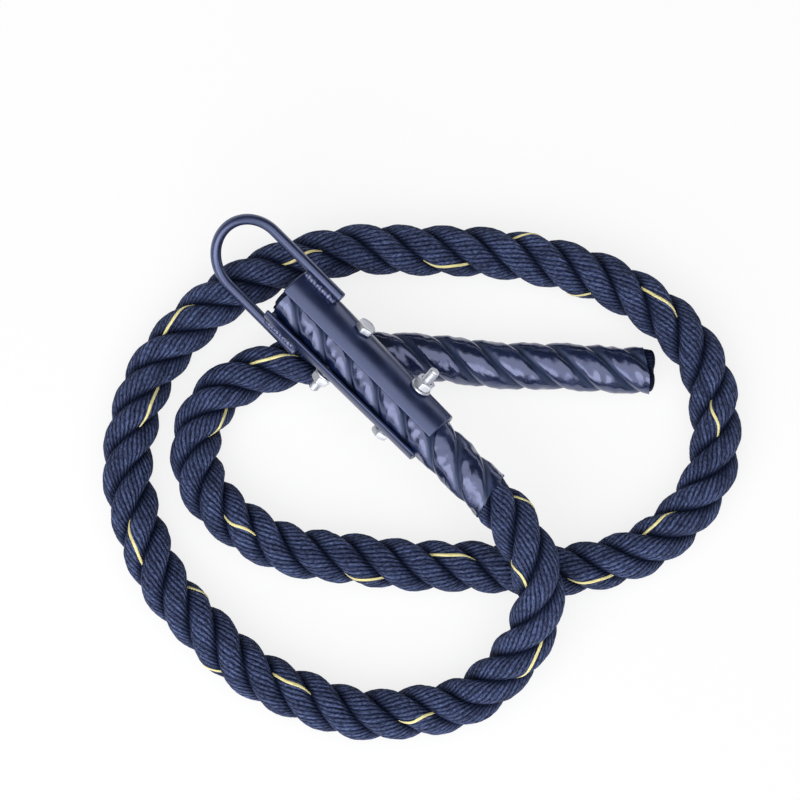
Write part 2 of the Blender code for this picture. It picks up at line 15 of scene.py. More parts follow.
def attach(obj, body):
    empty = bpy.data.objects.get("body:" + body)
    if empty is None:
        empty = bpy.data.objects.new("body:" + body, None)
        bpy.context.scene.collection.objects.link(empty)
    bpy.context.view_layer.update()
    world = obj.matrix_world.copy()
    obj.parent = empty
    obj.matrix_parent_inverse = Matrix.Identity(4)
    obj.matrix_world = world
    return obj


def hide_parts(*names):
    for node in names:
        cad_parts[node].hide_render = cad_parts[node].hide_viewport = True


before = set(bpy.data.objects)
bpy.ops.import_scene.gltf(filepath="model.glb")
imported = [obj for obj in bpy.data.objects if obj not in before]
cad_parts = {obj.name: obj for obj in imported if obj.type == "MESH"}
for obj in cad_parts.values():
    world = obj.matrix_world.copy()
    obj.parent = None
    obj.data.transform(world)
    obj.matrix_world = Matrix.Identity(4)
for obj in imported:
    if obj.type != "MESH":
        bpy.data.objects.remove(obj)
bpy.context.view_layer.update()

bl_info = {
    "name": "Climbing rope",
    "version": (1, 0, 0),
    "blender": (4, 5, 0),
    "location": "View3D > Sidebar > Climbing rope",
    "description": "Builds a three-strand climbing rope, its film sleeves and its bolted hanger",
    "category": "Object",
}

ROOT = "rope_and_hanger"

# Route of the rope's centreline, the same points as in the part's source. A point without a height of
# its own lies at the height of rope that rests on the floor
HANGER_HEIGHT = 0.0590405
REST_HEIGHT = 0.0152
TAIL_HEIGHT = 0.018
ROUTE = (
    (-0.134, 0.012, HANGER_HEIGHT), (-0.084, 0.012, HANGER_HEIGHT), (-0.034, 0.012, HANGER_HEIGHT),
    (0.016, 0.012, HANGER_HEIGHT), (0.050, 0.012, HANGER_HEIGHT), (0.085, 0.013, 0.058),
    (0.107, 0.009, 0.0575), (0.125, 0.004, 0.057), (0.141, -0.004, 0.055), (0.154, -0.016, 0.050),
    (0.166, -0.037, 0.040), (0.171, -0.068, 0.027), (0.166, -0.104, 0.018), (0.146, -0.134),
    (0.120, -0.163), (0.084, -0.183), (0.042, -0.198), (-0.002, -0.201), (-0.047, -0.199),
    (-0.089, -0.184), (-0.126, -0.162), (-0.150, -0.133), (-0.167, -0.099), (-0.173, -0.065),
    (-0.173, -0.029), (-0.165, 0.009), (-0.150, 0.041), (-0.130, 0.073), (-0.101, 0.102),
    (-0.058, 0.143), (-0.018, 0.172), (0.027, 0.194), (0.076, 0.203), (0.116, 0.197), (0.148, 0.176),
    (0.172, 0.149), (0.183, 0.114), (0.181, 0.073), (0.165, 0.038), (0.140, 0.006), (0.104, -0.026),
    (0.069, -0.060), (0.033, -0.089), (-0.002, -0.116), (-0.042, -0.129), (-0.078, -0.129),
    (-0.104, -0.114), (-0.118, -0.092), (-0.121, -0.065), (-0.113, -0.040), (-0.097, -0.012, 0.0172),
    (-0.074, 0.016, TAIL_HEIGHT), (-0.048, 0.043, TAIL_HEIGHT), (-0.020, 0.067, TAIL_HEIGHT),
    (0.009, 0.090, TAIL_HEIGHT), (0.046, 0.126, TAIL_HEIGHT), (0.071, 0.148, TAIL_HEIGHT),
    (0.091, 0.167, TAIL_HEIGHT),
)

# Grooves between strands that cross the rope's upper face, counted along it: (distance in mm, count)
GROOVES = (
    (0, -0.4), (200, 6.8), (350, 11.5), (650, 22.1), (900, 30.7), (1000, 33.8), (1250, 42.0),
    (1400, 47.1), (1550, 52.6), (1750, 59.7), (1850, 63.4), (1950, 66.8), (2200, 75.6),
)

# Turns of the tracer yarn round its strand, against the lay: (count of grooves, turns there). Each whole
# turn brings it to the outside, where the photo shows a dash
TRACER_TURNS = (
    (-2.6, -13.8), (7.8, -8.07), (8.9, -6.92), (11.05, -6.08), (14.3, -4.02), (17.6, -2.0), (19.65, -1.14),
    (21.2, 0.12), (23.3, 0.98), (26.7, 3.02), (28.95, 3.86), (32.4, 6.0), (35.75, 7.98), (37.8, 8.91),
    (39.25, 10.1), (41.25, 10.97), (44.5, 13.0), (47.8, 15.04), (50.15, 15.95), (53.7, 18.02),
    (55.9, 18.88), (59.45, 21.0), (63.0, 23.08), (65.25, 23.94), (76.9, 30.4),
)
# Turns of every other yarn for each groove that the rope passes
YARN_RATE = 0.551
TRACER_STRAND = 2

# Rope: how finely it is drawn, how its line and its lay are eased, and how its strands lie
STRANDS = 3
STEP = 0.0025
STEPS_BETWEEN_KNOTS = 16
LINE_EASE = 0.014
COUNT_EASE = 0.04
TURN_EASE = 0.03
LAY_CENTRE_SHARE = 0.49
STRAND_WIDTH_SHARE = 1.15
FLOOR_LIFT = 0.0022
FLOOR_GAP = 0.0002
HANGER_END_DOME = 0.0008
TAIL_END_DOME = 0.0035

# Yarns: how they spread, how unevenly they stand, and the cosines at which the painted shade of a strand's
# groove starts and ends
YARN_SPREAD = 0.2
COLUMNS_PER_YARN = 5
YARN_UNEVEN = 0.25
YARN_ROUNDING = 0.75
YARN_SINK_SHARE = 0.9
SLEEVED_YARN_LOSS = 0.75
GROOVE_EDGE = 0.42
GROOVE_FLOOR = -0.18

# Tracer yarn: how far it stays off the rope's ends, how finely it is drawn, and how it sits on its strand
TRACER_INSET = 0.004
TRACER_STEP = 0.001
TRACER_HALF_HEIGHT = 0.0006
TRACER_SINK = 0.0022
TRACER_SINK_SHARE = 0.1

# Camera
CAMERA_PLACE = (0.2228, -0.2251, 2.493)
CAMERA_HEADING = math.radians(45.3)
CAMERA_RISE = math.radians(82.0)
CAMERA_LENS = 152.4
CAMERA_SENSOR = 36.0

# Floor: half its width, and how much of it glows white by itself for rays that show the background
FLOOR_REACH = 6.0
FLOOR_GLOW_SHARE = 0.8

# Light: the way to its middle, the angles within which it is full and beyond which it is gone, its glow
LIGHT_WAY = (0.22, -0.30, 0.928)
LIGHT_INNER = math.radians(41.0)
LIGHT_OUTER = math.radians(54.0)
LIGHT_GLOW = 1.5
ROOM_GLOW = 0.06

# Backdrop: sine of the height above the horizon up to which it is white, and over which it fades
BACKDROP_TOP = 0.13
BACKDROP_FADE = 0.03

# Lamp, which draws the soft shadows
LAMP_PLACE = (0.5, -1.5, 1.2)
LAMP_WIDTH = 2.2
LAMP_POWER = 20.0

# Film sleeves
HANGER_SLEEVE_LENGTH = 0.210
TAIL_SLEEVE_LENGTH = 0.240
SLEEVE_SETBACK = 0.003
NECK_LENGTH = 0.012
HANGER_VALLEY_DEPTH = 0.0036
TAIL_VALLEY_DEPTH = 0.0046
VALLEY_POWER = 4.0
FILM_LIP = 0.0004
FILM_RAGGED = 0.0010
FILM_ROWS = 240
FILM_COLUMNS = 180
FILM_HOLLOW_FROM = 0.68
FILM_HOLLOW_OVER = 0.20
MOUTH_SLANT = 0.0035
TIP_SLANT = 0.00245

# Hanger, in its own frame: x along the rope, y along the bolts, z across both
HANGER_ROLL = math.radians(35.0)
HANGER_PLACE = (-0.134, 0.012, HANGER_HEIGHT)
SHELL_LENGTH = 0.150
SHELL_WALL = 0.0025
SHELL_TOP_RADIUS = 0.0224
SHELL_FLARE = 0.0022
SHELL_SPREAD = 0.002
SHELL_HALF_ARC = math.radians(65.0)
SHELL_EDGE = 0.0007
SHELL_END_ZONE = 0.003
PRESS_MARK_DEPTH = 0.0005
PRESS_MARK_RADIUS = 0.0105
ROD_RADIUS = 0.004
ROD_BLUNT = 0.0012
ROD_TIP_SHARE = 0.7
LOOP_RADIUS = 0.029558
LOOP_RISE = 0.0365
WELD_LENGTH = 0.033
WELD_RADIUS = 0.0023
WELD_INSET = 0.0012
WELD_RISE = 0.0018
WELD_DROPS = 11
CLEARANCE = 0.0003

# Bolts, nuts and washers, and how their edges are broken
UPPER_BOLT_AT = 0.060
LOWER_BOLT_AT = 0.119
BOLT_RADIUS = 0.004
BOLT_LENGTH = 0.065
BORE_GAP = 0.0002
THREAD_LENGTH = 0.024
THREAD_RUNOUT = 0.0012
THREAD_MARGIN = 0.001
TIP_EDGE = 0.0002
THREAD_PITCH = 0.00125
THREAD_DEPTH = 0.00068
HEX_ACROSS_FLATS = 0.013
HEX_CORNER_SHARE = 1.145
HEX_EDGE = 0.0003
HEX_SWELL = 0.00006
FACE_RADIUS = HEX_ACROSS_FLATS / 2 * 0.93
FACE_EDGE = 0.00015
FACE_DROP = 0.00008
CHAMFER_SLOPE = math.tan(math.radians(30.0))
HEAD_HEIGHT = 0.0053
HEAD_FOOT = 0.0060
FOOT_HEIGHT = 0.00028
FOOT_EDGE = 0.0001
NUT_HEIGHT = 0.0065
NUT_BORE_CHAMFER = 0.0006
WASHER_RADIUS = 0.008
WASHER_THICKNESS = 0.0016
WASHER_ROUND_EDGE = 0.0005
WASHER_SHARP_EDGE = 0.0001
SIDES = 72


def linear(code):
    """Linear colour and alpha of an sRGB hex code: each channel runs through the sRGB curve."""
    share = np.array([int(code[i : i + 2], 16) for i in (1, 3, 5)]) / 255
    low, high = share / 12.92, ((share + 0.055) / 1.055) ** 2.4
    return (*np.where(share <= 0.04045, low, high).tolist(), 1.0)


def length_setting(name, description, metres):
    """A setting of the add-on that holds a length."""
    return FloatProperty(name=name, description=description, default=metres, unit="LENGTH")


def colour_setting(name, description, code):
    """A setting of the add-on that holds a colour, given here as an sRGB hex code."""
    shade = linear(code)
    return FloatVectorProperty(name=name, description=description, subtype="COLOR", size=4, default=shade)


class ROPE_PG_sizes(bpy.types.PropertyGroup):
    """Sizes of the rope, its film and its yarns."""

    rope_diameter: length_setting("Rope diameter", "Diameter over the three strands", 0.038)
    sleeved_diameter: length_setting("Sleeved diameter", "Diameter where the film draws the rope in", 0.0336)
    film_wall: length_setting("Film wall", "Thickness of the shrunk film", 0.0006)
    film_wrinkle: length_setting("Film wrinkle", "Height of the film's folds", 0.0005)
    yarns: IntProperty(
        name="Yarns in a strand", description="Yarns that show round one strand", default=22, min=6
    )
    yarn_relief: length_setting("Yarn relief", "Height of a yarn's ridge over the grooves beside it", 0.0006)
    tracer_width: length_setting("Tracer width", "Width of the pale tracer yarn", 0.0022)


class ROPE_PG_colours(bpy.types.PropertyGroup):
    """Colours of the finishes and of the stage."""

    yarn: colour_setting("Yarn", "Dyed yarn of the strands", "#3a4464")
    tracer: colour_setting("Tracer", "Tracer yarn", "#fdf2ac")
    film: colour_setting("Film", "Shrunk film", "#0c1a3a")
    paint: colour_setting("Paint", "Paint on the hanger", "#091738")
    zinc: colour_setting("Zinc", "Plating of the bolts", "#eef1f8")
    floor: colour_setting("Floor", "Floor and backdrop", "#f7f7f7")


def unit(vectors):
    """Each vector divided by its own length."""
    return vectors / np.linalg.norm(vectors, axis=-1, keepdims=True)


def eased(values, width, step=STEP):
    """A running mean over a width, with each end carried on by its own mirror image turned upside down."""
    values = np.asarray(values, float)
    half = max(1, int(round(width / step / 2)))
    head = 2 * values[:1] - values[half:0:-1]
    tail = 2 * values[-1:] - values[-2 : -half - 2 : -1]
    run = np.cumsum(np.concatenate([np.zeros_like(values[:1]), head, values, tail]), axis=0)
    return (run[2 * half + 1 :] - run[: -2 * half - 1]) / (2 * half + 1)


def rope_line():
    """The rope's centreline at even steps.

    Between two points of the route runs the cubic that leaves each point in the direction of the chord
    between its neighbours. The line is then lifted off the floor by what the weight presses flat.
    """
    knots = np.array([(*point, REST_HEIGHT)[:3] for point in ROUTE])
    count = len(knots)
    chord = np.concatenate([[0.0], np.cumsum(np.linalg.norm(np.diff(knots, axis=0), axis=1))])
    before = np.maximum(np.arange(count) - 1, 0)
    after = np.minimum(np.arange(count) + 1, count - 1)
    slope = (knots[after] - knots[before]) / (chord[after] - chord[before])[:, None]
    t = (np.arange(STEPS_BETWEEN_KNOTS) / STEPS_BETWEEN_KNOTS)[None, :, None]
    first, second = knots[:-1, None], knots[1:, None]
    out, into = slope[:-1, None], slope[1:, None]
    span = np.diff(chord)[:, None, None]
    points = (
        first * (2 * t**3 - 3 * t**2 + 1)
        + out * span * (t**3 - 2 * t**2 + t)
        + second * (3 * t**2 - 2 * t**3)
        + into * span * (t**3 - t**2)
    ).reshape(-1, 3)
    points = np.concatenate([points, knots[-1:]])
    points[:, 2] = np.maximum(points[:, 2], REST_HEIGHT)
    reached = np.concatenate([[0.0], np.cumsum(np.linalg.norm(np.diff(points, axis=0), axis=1))])
    even = np.arange(0.0, reached[-1], STEP)
    line = np.stack([np.interp(even, reached, points[:, i]) for i in range(3)], axis=1)
    line[:, 2] = np.maximum(line[:, 2], REST_HEIGHT + FLOOR_LIFT)
    return even, eased(line, LINE_EASE)


ALONG, LINE = rope_line()
LENGTH = float(ALONG[-1])
TANGENT = unit(np.gradient(LINE, STEP, axis=0))
TO_LENS = np.array(CAMERA_PLACE) - LINE
UPPER = unit(TO_LENS - np.sum(TO_LENS * TANGENT, axis=1, keepdims=True) * TANGENT)
RIGHT = np.cross(TANGENT, UPPER)
GROOVE_PLACES, GROOVE_COUNTS = np.array(GROOVES).T
COUNT = eased(np.interp(ALONG, GROOVE_PLACES / 1000, GROOVE_COUNTS), COUNT_EASE)
TRACER_TURN = eased(np.interp(COUNT, *np.array(TRACER_TURNS).T), TURN_EASE)


def along_rope(values, distances):
    """Values of the rope's line at any array of distances, straight between its steps."""
    if values.ndim == 1:
        return np.interp(distances, ALONG, values)
    return np.stack([np.interp(distances, ALONG, values[:, i]) for i in range(values.shape[1])], axis=-1)


def sleeved_share(distances):
    """0 on bare rope and 1 under a film sleeve, with a smooth step over each neck."""
    near = (HANGER_SLEEVE_LENGTH + NECK_LENGTH - distances) / NECK_LENGTH
    far = (distances - (LENGTH - TAIL_SLEEVE_LENGTH - NECK_LENGTH)) / NECK_LENGTH
    share = np.clip(np.maximum(near, far), 0.0, 1.0)
    return share * share * (3 - 2 * share)


def bare_scale(distances, sizes):
    """The rope's radius at each distance: its own, drawn in under the sleeves."""
    share = sleeved_share(distances)
    return (sizes.rope_diameter * (1 - share) + sizes.sleeved_diameter * share) / 2


def strand_turn(distances, strand):
    """Angle of a strand's middle round the rope, from the upper side towards the right."""
    return math.tau / STRANDS * (along_rope(COUNT, distances) - 0.5 - strand)


def ripple(first, second, waves, seed, low, high):
    """Smooth noise between -1 and 1 over two arrays.

    It is the mean of some sine waves with whole numbers of turns round the first and frequencies between
    low and high turns per metre along the second, each with its own phase.
    """
    dice = np.random.default_rng(seed)
    total = 0.0
    for _ in range(waves):
        turns = int(dice.integers(-6, 7))
        rate = dice.uniform(low, high)
        total = total + np.sin(turns * first + math.tau * rate * second + dice.uniform(0, math.tau))
    return total / math.sqrt(waves * 2)


def fill(made, **values):
    """Fills in a node: its own settings, in lower case, and its sockets, by a value or by a link.

    An underscore stands for a blank in a socket's name, and i0, i1 and so on count sockets whose names
    repeat. A node given as a value stands for its own first output.
    """
    for key, value in values.items():
        if hasattr(made, key):
            setattr(made, key, value)
            continue
        socket = made.inputs[int(key[1:]) if key[1:].isdigit() else key.replace("_", " ")]
        if isinstance(value, bpy.types.Node):
            value = value.outputs[0]
        if isinstance(value, bpy.types.NodeSocket):
            made.id_data.links.new(value, socket)
        else:
            socket.default_value = value
    return made


def node(tree, kind, stops=(), **values):
    """Adds one shader node and fills it in. Stops are a ramp's places and linear colours, in order."""
    made = fill(tree.nodes.new("ShaderNode" + kind), **values)
    for index, (place, colour) in enumerate(stops):
        ramp = made.color_ramp.elements
        stop = ramp[index] if index < 2 else ramp.new(place)
        stop.position = place
        stop.color = (*colour, 1.0)
    return made


def new_material(name):
    """An empty node material with its shader and output in place."""
    material = bpy.data.materials.new(name)
    material.use_nodes = True
    tree = material.node_tree
    return material, tree, tree.nodes["Principled BSDF"]


def yarn_material(colours):
    """Dyed spun polyester yarn, laid up hard.

    It gives the eye dull ridges, with a painted broken silky glint where the fibres turn, a painted paler
    grey on each ridge's crest, and nearly black painted shade in the gaps between the yarns, between the
    strands and on the cut ends. U counts yarns across the strand, V is metres along the rope, and the
    attribute says how deep in the groove between two strands a place lies, or that it lies near an end.
    """
    material, tree, shader = new_material("Dyed spun polyester yarn")
    place = node(tree, "UVMap", uv_map="UVMap")
    parts = node(tree, "SeparateXYZ", Vector=place).outputs
    across = node(tree, "Math", operation="FRACT", i0=parts["X"])
    half_turn = node(tree, "Math", operation="MULTIPLY", i0=across, i1=math.pi)
    arch = node(tree, "Math", operation="SINE", i0=half_turn)
    base = np.array(colours.yarn[:3])
    # painted shade and highlight: the base colour falls to near black in the gaps between yarns, and each
    # ridge's crest is painted a paler grey
    yarn_shade_and_highlight = node(
        tree, "ValToRGB", Fac=arch, stops=(
            (0.08, base * (0.10, 0.16, 0.24)), (0.58, base * (0.76, 0.80, 0.86)), (1.0, base * 0.85 + 0.016),
        ),
    )
    # the fibres of a yarn 3.5 mm wide lie at a slant and are drawn as tufts 3 mm long, to show
    slant = (0.0, 0.0, math.radians(30.0))
    tufts = node(tree, "Mapping", Vector=place, Rotation=slant, Scale=(2.6, 360.0, 1.0))
    fibre = node(
        tree, "TexNoise", noise_dimensions="2D", Vector=tufts, Scale=1.0, Detail=2.5, Roughness=0.65
    )
    # painted glint: the fibre noise scales the base colour from 0.4 to 1.9 times along the yarns
    glint = node(tree, "MapRange", Value=fibre, From_Min=0.34, From_Max=0.68, To_Min=0.40, To_Max=1.9)
    # patches of rubbed and fuller yarn, about 25 mm long
    spot = node(tree, "TexCoord").outputs["Object"]
    patch = node(tree, "TexNoise", Vector=spot, Scale=38.0, Detail=2.0)
    worn = node(tree, "MapRange", Value=patch, From_Min=0.3, From_Max=0.7, To_Min=0.85, To_Max=1.15)
    # some yarns are fuller and paler than others, each over some 40 mm of its length
    whole = node(tree, "Math", operation="FLOOR", i0=parts["X"])
    apart = node(tree, "Math", operation="MULTIPLY", i0=whole, i1=3.7)
    stretch = node(tree, "Math", operation="MULTIPLY", i0=parts["Y"], i1=25.0)
    own = node(tree, "CombineXYZ", X=apart, Y=stretch)
    uneven = node(tree, "TexNoise", noise_dimensions="2D", Vector=own, Scale=1.0)
    pale = node(tree, "MapRange", Value=uneven, From_Min=0.35, From_Max=0.65, To_Min=0.70, To_Max=1.30)
    shade = node(tree, "Math", operation="MULTIPLY", i0=glint, i1=worn)
    shade = node(tree, "Math", operation="MULTIPLY", i0=shade, i1=pale)
    lit = node(tree, "VectorMath", operation="SCALE", i0=yarn_shade_and_highlight, Scale=shade)
    # painted shade: the colour goes nearly black in the grooves between strands and at the cut ends
    hollow = node(tree, "Attribute", attribute_name="hollow").outputs["Fac"]
    deep = node(tree, "Math", operation="MULTIPLY", i0=hollow, i1=0.93)
    colour = node(tree, "Mix", data_type="RGBA", i0=deep, i6=lit, i7=(0.0010, 0.0036, 0.0160, 1.0))
    height = node(tree, "Math", operation="MULTIPLY_ADD", i0=fibre, i1=0.7, i2=arch)
    bump = node(tree, "Bump", Strength=0.8, Distance=0.0008, Height=height)
    rough = node(tree, "MapRange", Value=fibre, From_Min=0.36, From_Max=0.68, To_Min=0.9, To_Max=0.48)
    fill(
        shader, Base_Color=colour.outputs[2], Roughness=rough, Normal=bump, IOR=1.5,
        Specular_IOR_Level=0.3, Specular_Tint=linear("#b8c4ff"),
    )
    return material


def tracer_material(colours):
    """Flat filament yarn left pale: a smooth bright thread with fine darker lines along it."""
    material, tree, shader = new_material("Pale filament yarn")
    place = node(tree, "UVMap", uv_map="UVMap")
    drawn = node(tree, "Mapping", Vector=place, Scale=(14.0, 160.0, 1.0))
    lines = node(tree, "TexNoise", noise_dimensions="2D", Vector=drawn, Scale=1.0, Detail=2.0)
    base = np.array(colours.tracer[:3])
    ramp = node(tree, "ValToRGB", Fac=lines, stops=((0.30, base * 0.62), (0.62, base)))
    bump = node(tree, "Bump", Strength=0.3, Distance=0.0002, Height=lines)
    fill(shader, Base_Color=ramp, Roughness=0.38, Normal=bump)
    return material


def film_material(colours):
    """Heat-shrunk polyolefin film: a smooth glossy skin with faint crinkles and clouded patches.

    It gives the eye broad lavender reflections on each lobe's face. In the hollows between the strands,
    In the hollows between the strands it is duller, and its colour turns a dark blue-green there: a painted
    dark reflection.
    """
    material, tree, shader = new_material("Heat-shrunk polyolefin film")
    place = node(tree, "TexCoord").outputs["Object"]
    cloud = node(tree, "TexNoise", Vector=place, Scale=85.0, Detail=3.0, Roughness=0.5)
    crinkle = node(tree, "TexNoise", Vector=place, Scale=210.0, Detail=2.5, Roughness=0.5)
    base = np.array(colours.film[:3])
    # painted dark reflection: this blue-green is mixed in where the attribute marks the hollow between
    # strands
    teal = (*(base * (1.3, 1.9, 1.2)), 1.0)
    ramp = node(tree, "ValToRGB", Fac=cloud, stops=((0.35, base * 0.7), (0.70, base * 1.6)))
    hollow = node(tree, "Attribute", attribute_name="hollow").outputs["Fac"]
    groove_reflection_paint = node(tree, "Mix", data_type="RGBA", i0=hollow, i6=ramp, i7=teal)
    rough = node(tree, "MapRange", Value=cloud, From_Min=0.3, From_Max=0.7, To_Min=0.16, To_Max=0.32)
    dull = node(tree, "Math", operation="MULTIPLY_ADD", i0=hollow, i1=0.35, i2=rough)
    bump = node(tree, "Bump", Strength=0.45, Distance=0.0006, Height=crinkle)
    fill(
        shader, Base_Color=groove_reflection_paint.outputs[2], Roughness=dull, Normal=bump, IOR=1.8, Specular_IOR_Level=1.0,
        Specular_Tint=linear("#c8d0ff"), Coat_Weight=0.25, Coat_Roughness=0.12,
    )
    return material


def paint_material(colours):
    """Semi-gloss enamel on bent mild steel.

    It gives the eye a soft broad sheen, with a faint orange peel and slightly duller clouds.
    """
    material, tree, shader = new_material("Semi-gloss enamel on steel")
    place = node(tree, "TexCoord").outputs["Object"]
    peel = node(tree, "TexNoise", Vector=place, Scale=420.0, Detail=2.0)
    cloud = node(tree, "TexNoise", Vector=place, Scale=55.0, Detail=3.0)
    base = np.array(colours.paint[:3])
    ramp = node(tree, "ValToRGB", Fac=cloud, stops=((0.35, base * 0.8), (0.72, base * 1.3)))
    rough = node(tree, "MapRange", Value=cloud, From_Min=0.3, From_Max=0.7, To_Min=0.27, To_Max=0.40)
    bump = node(tree, "Bump", Strength=0.18, Distance=0.0002, Height=peel)
    fill(
        shader, Base_Color=ramp, Roughness=rough, Normal=bump, IOR=1.8, Specular_IOR_Level=1.0,
        Specular_Tint=linear("#c0ccff"), Coat_Weight=0.2, Coat_Roughness=0.2,
    )
    return material


def weld_material(colours):
    """Enamel over a rippled weld bead, with the ripples' tops painted paler: a painted highlight."""
    material, tree, shader = new_material("Enamel over weld bead")
    place = node(tree, "TexCoord").outputs["Object"]
    spots = node(tree, "TexNoise", Vector=place, Scale=330.0, Detail=2.0, Roughness=0.55)
    base = np.array(colours.paint[:3])
    # painted highlight: where the ripple noise is high, the colour is painted paler
    ramp = node(tree, "ValToRGB", Fac=spots, stops=((0.40, base * 1.5), (0.62, base * 1.5 + 0.09)))
    bump = node(tree, "Bump", Strength=0.15, Distance=0.0006, Height=spots)
    fill(
        shader, Base_Color=ramp, Roughness=0.28, Normal=bump, IOR=1.8, Specular_IOR_Level=1.0,
        Specular_Tint=linear("#c4cdff"),
    )
    return material


def zinc_material(colours):
    """Bright zinc plate on cold-forged steel: a pale satin metal, slightly clouded."""
    material, tree, shader = new_material("Bright zinc plate")
    place = node(tree, "TexCoord").outputs["Object"]
    cloud = node(tree, "TexNoise", Vector=place, Scale=260.0, Detail=2.0)
    base = np.array(colours.zinc[:3])
    ramp = node(tree, "ValToRGB", Fac=cloud, stops=((0.30, base * 0.86), (0.62, base)))
    rough = node(tree, "MapRange", Value=cloud, From_Min=0.3, From_Max=0.7, To_Min=0.40, To_Max=0.52)
    bump = node(tree, "Bump", Strength=0.05, Distance=0.0001, Height=cloud)
    fill(shader, Base_Color=ramp, Roughness=rough, Normal=bump, Metallic=1.0)
    return material


FINISHES = {
    "yarn": (yarn_material, "rope_fibre"),
    "tracer": (tracer_material, "rope_fibre"),
    "film": (film_material, "shrink_film"),
    "paint": (paint_material, "black_paint"),
    "weld": (weld_material, "weld_paint"),
    "zinc": (zinc_material, "bright_zinc"),
}
MADE = {}


def finish(name):
    """The material of one finish, made once."""
    if name not in MADE:
        MADE[name] = FINISHES[name][0](bpy.context.scene.rope_colours)
    return MADE[name]


def placed(name, data):
    """A new object of the scene that holds this mesh, lamp or camera."""
    obj = bpy.data.objects.new(name, data)
    bpy.context.scene.collection.objects.link(obj)
    return obj


def piece(
    name, points, finish_name, body=ROOT, nodes=(), poles=True, ring=False, uv=None, hollow=None, sharp=None
):
    """Turns a grid of points, rows by columns, into one closed smooth piece that rides on a body.

    Each cell between two rows and two columns is a quad, and the last column joins the first. With poles
    each end row is closed by a fan to its own middle. With ring the last row joins the first instead.
    Where the faces enclose a negative volume they are turned round, so that they point outwards.
    """
    rows, columns = points.shape[:2]
    corners = points.reshape(-1, 3)
    i, j = np.meshgrid(np.arange(rows if ring else rows - 1), np.arange(columns), indexing="ij")
    up, over = (i + 1) % rows, (j + 1) % columns
    quads = np.stack([i * columns + j, i * columns + over, up * columns + over, up * columns + j], axis=-1)
    quads = quads.reshape(-1, 4)
    fans = np.zeros((0, 3), int)
    if poles and not ring:
        middles = np.stack([points[0].mean(axis=0), points[-1].mean(axis=0)])
        corners = np.concatenate([corners, middles])
        j = np.arange(columns)
        last = (rows - 1) * columns
        low = np.stack([(j + 1) % columns, j, np.full(columns, rows * columns)], axis=-1)
        high = np.stack([last + j, last + (j + 1) % columns, np.full(columns, rows * columns + 1)], axis=-1)
        fans = np.concatenate([low, high])
    halves = np.concatenate([quads[:, [0, 1, 2]], quads[:, [0, 2, 3]], fans])
    centred = corners - corners.mean(axis=0)
    if np.linalg.det(centred[halves]).sum() < 0:
        quads, fans = quads[:, ::-1], fans[:, ::-1]
    mesh = bpy.data.meshes.new(name)
    mesh.from_pydata(corners.tolist(), [], quads.tolist() + fans.tolist())
    if uv is not None:
        # u of a column's left and right edge and v of a row's near and far edge, corner by corner
        u, v = uv
        wrapped = np.stack([quads // columns, quads % columns], axis=-1)
        seam = (wrapped[..., 1] == 0) & ((wrapped[..., 1].max(axis=1) == columns - 1)[:, None])
        quad_u = np.where(seam, u[-1], u[:-1][wrapped[..., 1]])
        quad_v = v[wrapped[..., 0]]
        flat = np.zeros((len(quads) * 4 + len(fans) * 3, 2))
        flat[: len(quads) * 4, 0] = quad_u.reshape(-1)
        flat[: len(quads) * 4, 1] = quad_v.reshape(-1)
        layer = mesh.uv_layers.new(name="UVMap")
        layer.data.foreach_set("uv", flat.reshape(-1))
    if hollow is not None:
        shares = np.ones(len(corners))
        shares[: hollow.size] = hollow.reshape(-1)
        mesh.attributes.new("hollow", "FLOAT", "POINT").data.foreach_set("value", shares)
    mesh.shade_smooth()
    if sharp:
        mesh.set_sharp_from_angle(angle=math.radians(sharp))
    mesh.update()
    mesh.materials.append(finish(finish_name))
    obj = placed(name, mesh)
    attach(obj, body)
    if nodes:
        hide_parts(*nodes)
    return obj


def rope_point(distances, angle_up, radial, tangential):
    """A point beside the rope: from its line, so far out at an angle round it, and so far across that."""
    line = along_rope(LINE, distances)
    upper = unit(along_rope(UPPER, distances))
    right = unit(along_rope(RIGHT, distances))
    c, s = np.cos(angle_up)[..., None], np.sin(angle_up)[..., None]
    outward = upper * c + right * s
    across = right * c - upper * s
    return line + outward * radial[..., None] + across * tangential[..., None]


def pressed(points):
    """The same points with none under the floor, where the rope's own weight presses it flat."""
    points[..., 2] = np.maximum(points[..., 2], FLOOR_GAP)
    return points


def yarn_angle(share, turns):
    """Angle of a thread round its strand, from the strand's outermost line.

    Share says how far round the strand the thread starts and turns how often it has gone round since.
    Yarns are spread wider on the outside of the strand, where they show, than on the inside.
    """
    even = math.tau * (share - turns)
    return even + YARN_SPREAD * np.sin(even)


